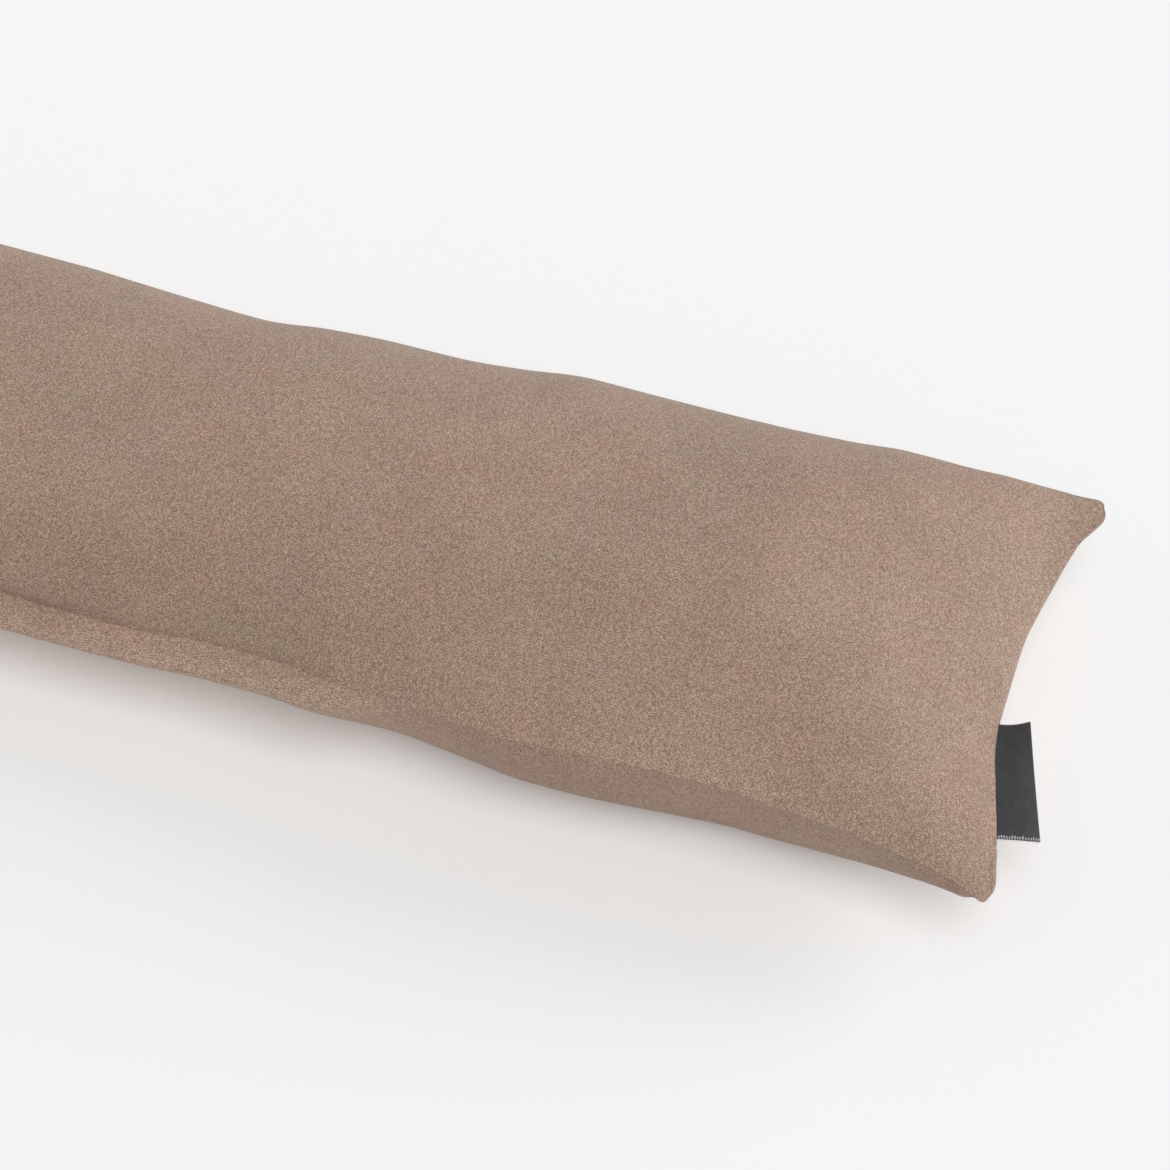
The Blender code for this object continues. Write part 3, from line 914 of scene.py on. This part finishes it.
def cover_material():
    """Melange cloth: short floats of mixed yarns in fine rows, with soft blotches of colour."""
    n = Nodes("taupe_melange")
    cloth = n.attribute("cloth")
    edges = n.attribute("edges")
    place = n.object_place()

    # Rows of yarn, a little uneven, each row with its floats shifted against the last.
    wander = n.vector("SUBTRACT", n.noise(cloth, WANDER_SIZE, output="Color"), (0.5, 0.5, 0.5))
    uneven = n.vector("ADD", cloth, n.vector("MULTIPLY", wander, (YARN_WANDER * 2,) * 3))
    along, across, panel = n.split(uneven)
    across = n.plus(across, n.times(along, ROW_LEAN))
    v = n.divide(across, YARN)
    row = n.floor(v)
    u = n.plus(n.divide(along, YARN_LENGTH), n.times(n.alternate(row), ROW_SHIFT))
    step = n.floor(u)
    cell = n.join(step, row, n.maths("ROUND", panel))
    yarn = n.cell_value(cell)
    next_cells = (n.vector("ADD", cell, (1, 0, 0)), n.vector("ADD", cell, (0, 1, 0)))
    beside = n.plus(*(n.cell_value(next_cell) for next_cell in next_cells))
    over = n.alternate(n.plus(step, row))
    rib = n.hump(n.divide(across, RIB_PITCH))
    ribbed = n.band(n.noise(place, RIB_PATCH), *RIB_SHOWS)

    evened = n.minus(yarn, n.times(n.centred(beside, 1.0), NEIGHBOUR))
    tone = n.plus(
        n.centred(evened, YARN_SPREAD),
        YARN_SPREAD * NEIGHBOUR / 2,
        n.centred(over, OVER_UNDER),
        n.times(n.centred(rib, RIB), ribbed),
        *(n.centred(n.noise(cloth, size), spread) for size, spread in STREAKS),
    )
    colour = n.ramp(n.plus(tone, 0.5), tone_stops(CLOTH_COLOUR, CLOTH_TONES, CLOTH_LIGHT))

    for size, reddish_at, greenish_at in BLOTCHES:
        stops = ((reddish_at, REDDISH), (0.5, (1, 1, 1)), (greenish_at, GREENISH))
        colour = n.tinted(colour, n.ramp(n.noise(place, size), stops))
    colour = n.tinted(colour, n.ramp(n.noise(place, DEPTH_SIZE, 2.0), DEPTH_STOPS))

    _, end, underside = n.split(edges)
    # Painted highlight on the rolled edge of each end seam.
    colour = n.tinted(colour, ROLLED_EDGE_PAINTED_HIGHLIGHT, n.inverse(n.band(end, *ROLLED_EDGE_HIGHLIGHT_ENDS)))

    # Painted shade on the front side, and painted light and shade on the lip below its seam.
    x, y, _ = n.split(place)
    away = n.inverse(n.band(x, *PAINTED_TONES_AWAY_FROM_TAB))
    front = n.inverse(n.band(y, *PAINTED_TONES_FRONT_SIDE))
    lip_painted_light_and_shade = n.mix("MIX", away, LIP_PAINTED_SHADE, LIP_PAINTED_LIGHT)
    side_painted_shade = n.mix("MIX", away, SIDE_UNSHADED, SIDE_PAINTED_SHADE)
    colour = n.tinted(colour, n.mix("MIX", underside, side_painted_shade, lip_painted_light_and_shade), front)

    # Each float is rounded, and a few stand out.
    height = n.plus(n.times(n.plus(n.hump(v), n.hump(u)), FLOAT_ROUND), n.times(yarn, YARN_STANDS))
    differs, least = CLOTH_ROUGHNESS
    n.shade(
        Base_Color=colour, Normal=n.bump(height, *CLOTH_BUMP),
        Roughness=n.plus(n.times(yarn, differs), least), Specular_IOR_Level=CLOTH_SPECULAR,
        Sheen_Weight=CLOTH_SHEEN, Sheen_Roughness=CLOTH_SHEEN_ROUGHNESS,
    )
    return n.material


def tab_material():
    """Close woven tape, with a fine rib across it and pale thread ends along its cut edge."""
    n = Nodes("charcoal_tape")
    tape = n.attribute("tape")
    out, along, up = n.split(tape)
    picks = n.divide(along, PICK)
    warps = n.divide(out, WARP)
    pick, warp = n.floor(picks), n.floor(warps)
    yarn = n.cell_value(n.join(pick, warp), "2D")
    over = n.alternate(n.plus(pick, warp))
    wear = n.noise(tape, TAPE_WEAR_SIZE, 2.0, TAPE_WEAR_ROUGHNESS)
    tone = n.plus(
        n.centred(yarn, TAPE_YARN_SPREAD),
        n.centred(over, TAPE_OVER_UNDER),
        n.centred(wear, TAPE_WEAR),
    )
    colour = n.ramp(n.plus(tone, 0.5), tone_stops(TAPE_COLOUR, TAPE_TONES, TAPE_LIGHT))

    # Painted highlight towards the fold and along the back cut edge.
    colour = n.tinted(colour, FOLD_PAINTED_HIGHLIGHT, n.band(out, *FOLD_HIGHLIGHT_RANGE))
    colour = n.tinted(colour, BACK_CUT_PAINTED_HIGHLIGHT, n.band(along, *BACK_CUT_HIGHLIGHT_RANGE))
    from_cut = n.minus(along, TAB_FRONT_Y)
    colour = n.tinted(colour, CUT_FACE_TINT, n.inverse(n.band(from_cut, *CUT_FACE)))
    threads = n.divide(out, THREAD_SPACING)
    length = n.plus(n.times(n.cell_value(n.join(n.floor(threads))), TICK_DIFFERS), TICK_SHORTEST)
    near_cut = n.maths("LESS_THAN", from_cut, length)
    tick = n.times(near_cut, n.band(n.hump(threads), *TICK_SIDE))
    tick = n.times(tick, n.band(up, *UPPER_LAYER))
    colour = n.mix("MIX", tick, colour, (*PALE_THREAD, 1))

    height = n.plus(n.hump(picks), n.times(n.hump(warps), WARP_HEIGHT))
    differs, least = TAPE_ROUGHNESS
    n.shade(
        Base_Color=colour, Normal=n.bump(height, *TAPE_BUMP),
        Roughness=n.plus(n.times(wear, differs), least), Specular_IOR_Level=TAPE_SPECULAR,
    )
    return n.material


def thread_material():
    n = Nodes("pale_thread")
    shade = n.ramp(n.noise(n.object_place(), THREAD_SHADE_SIZE), THREAD_SHADES)
    n.shade(Base_Color=shade, Roughness=THREAD_ROUGHNESS)
    return n.material


# The stage.

def direction(azimuth, elevation):
    """A unit vector, from degrees from +X towards +Y and up."""
    azimuth, elevation = math.radians(azimuth), math.radians(elevation)
    return Vector((
        math.cos(azimuth) * math.cos(elevation),
        math.sin(azimuth) * math.cos(elevation),
        math.sin(elevation),
    ))


def add_camera():
    back = direction(CAMERA_AZIMUTH - 90, CAMERA_ELEVATION)
    right = direction(CAMERA_AZIMUTH, 0)
    data = bpy.data.cameras.new("camera")
    data.sensor_width = SENSOR
    data.lens = PIXELS_PER_METRE * CAMERA_DISTANCE / FRAME_PIXELS * SENSOR
    camera = bpy.data.objects.new("camera", data)
    bpy.context.scene.collection.objects.link(camera)
    place = Matrix((right, back.cross(right), back)).transposed().to_4x4()
    place.translation = Vector(CAMERA_AIM) + back * CAMERA_DISTANCE
    camera.matrix_world = place
    bpy.context.scene.camera = camera


def add_light():
    scene = bpy.context.scene
    scene.world = bpy.data.worlds.new("studio")
    scene.world.use_nodes = True
    background = scene.world.node_tree.nodes["Background"]
    background.inputs["Color"].default_value = (1, 1, 1, 1)
    background.inputs["Strength"].default_value = WORLD_STRENGTH
    for name, azimuth, elevation, strength, spread, colour in SUNS:
        light = bpy.data.lights.new(name, "SUN")
        light.energy = strength
        light.color = colour
        light.angle = math.radians(spread)
        obj = bpy.data.objects.new(name, light)
        obj.rotation_euler = direction(azimuth, elevation).to_track_quat("Z", "Y").to_euler()
        scene.collection.objects.link(obj)


def add_floor():
    n = Nodes("pale_floor")
    n.shade(
        Base_Color=FLOOR_COLOUR, Roughness=FLOOR_ROUGHNESS,
        Emission_Color=(1, 1, 1, 1), Emission_Strength=FLOOR_GLOW,
    )
    size = FLOOR_HALF_SIZE
    corners = ((-size, -size), (size, -size), (size, size), (-size, size))
    verts = [(x, y, FLOOR_Z) for x, y in corners]
    floor = add_mesh("floor", verts, [(0, 1, 2, 3)], n.material, smooth=False)


add_camera()
add_light()
add_floor()

verts, faces, cloth, edges = cover_mesh()
cover = add_mesh("cover", verts, faces, cover_material())
store(cover, "cloth", cloth)
store(cover, "edges", edges)
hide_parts("cushion")
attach(cover, "root")

verts, faces, tape = tab_mesh()
tab = add_mesh("folded_tab", verts, faces, tab_material())
store(tab, "tape", tape)
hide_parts("side_tab")
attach(tab, "root")

threads = add_mesh("tab_threads", *threads_mesh(), thread_material())
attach(threads, "root")

bpy.context.scene.view_settings.view_transform = "Standard"
